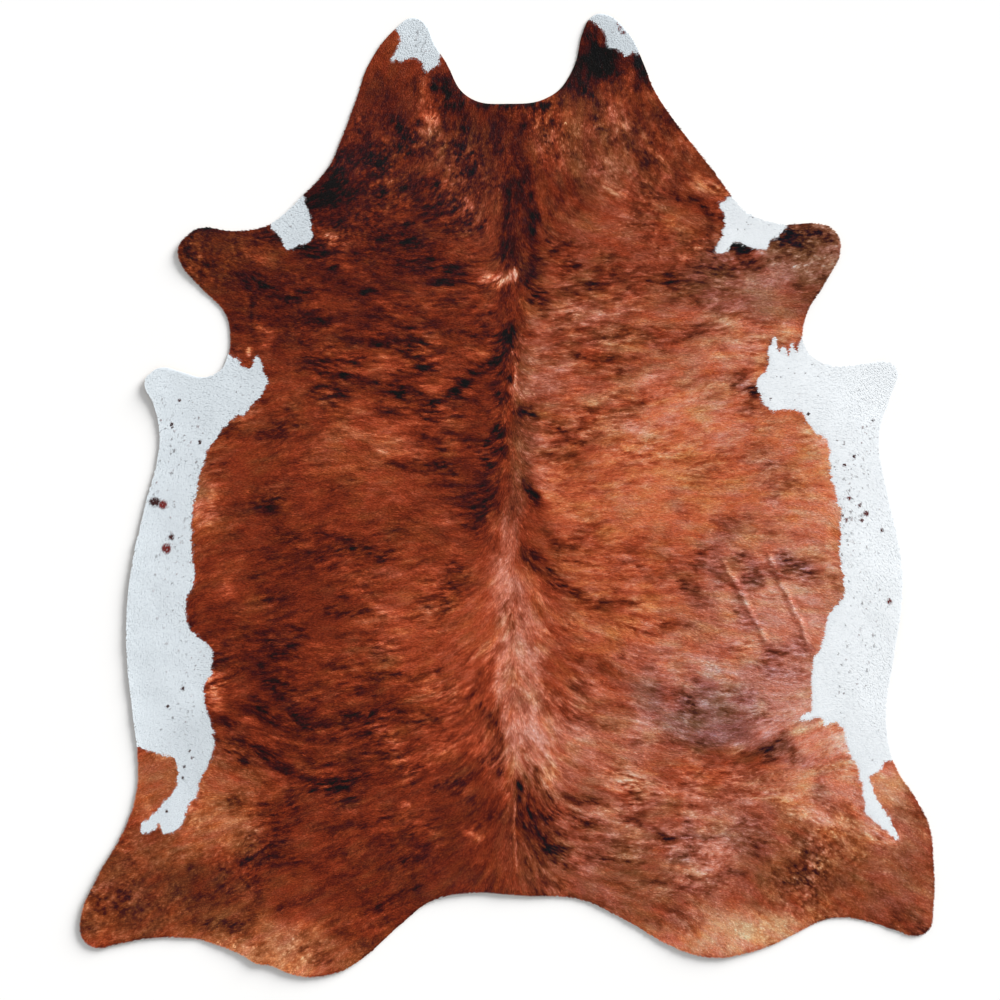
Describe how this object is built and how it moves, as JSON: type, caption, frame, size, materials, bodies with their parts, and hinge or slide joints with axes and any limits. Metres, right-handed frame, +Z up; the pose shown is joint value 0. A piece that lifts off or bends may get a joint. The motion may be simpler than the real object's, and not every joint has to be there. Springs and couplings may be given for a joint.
{
  "type": "cowhide rug",
  "caption": "Flat whole cowhide rug with the hair on: neck end with a notch, forelegs, flank tips and hind legs left in its smooth cut outline.",
  "frame": {"origin": "on the floor, under the middle of the rug's own bounding box", "axes": "+Z up through the hair side, +Y along the spine towards the neck end, +X to the right seen from above"},
  "size_m": [1.95, 2.2, 0.0064],
  "materials": {
    "hair_on_hide": "short glossy hair lying flat, brindle red-brown with white sides, on tanned leather with a pale suede underside"
  },
  "bodies": {
    "root": {"hide": "hair_on_hide"}
  },
  "joints": []
}
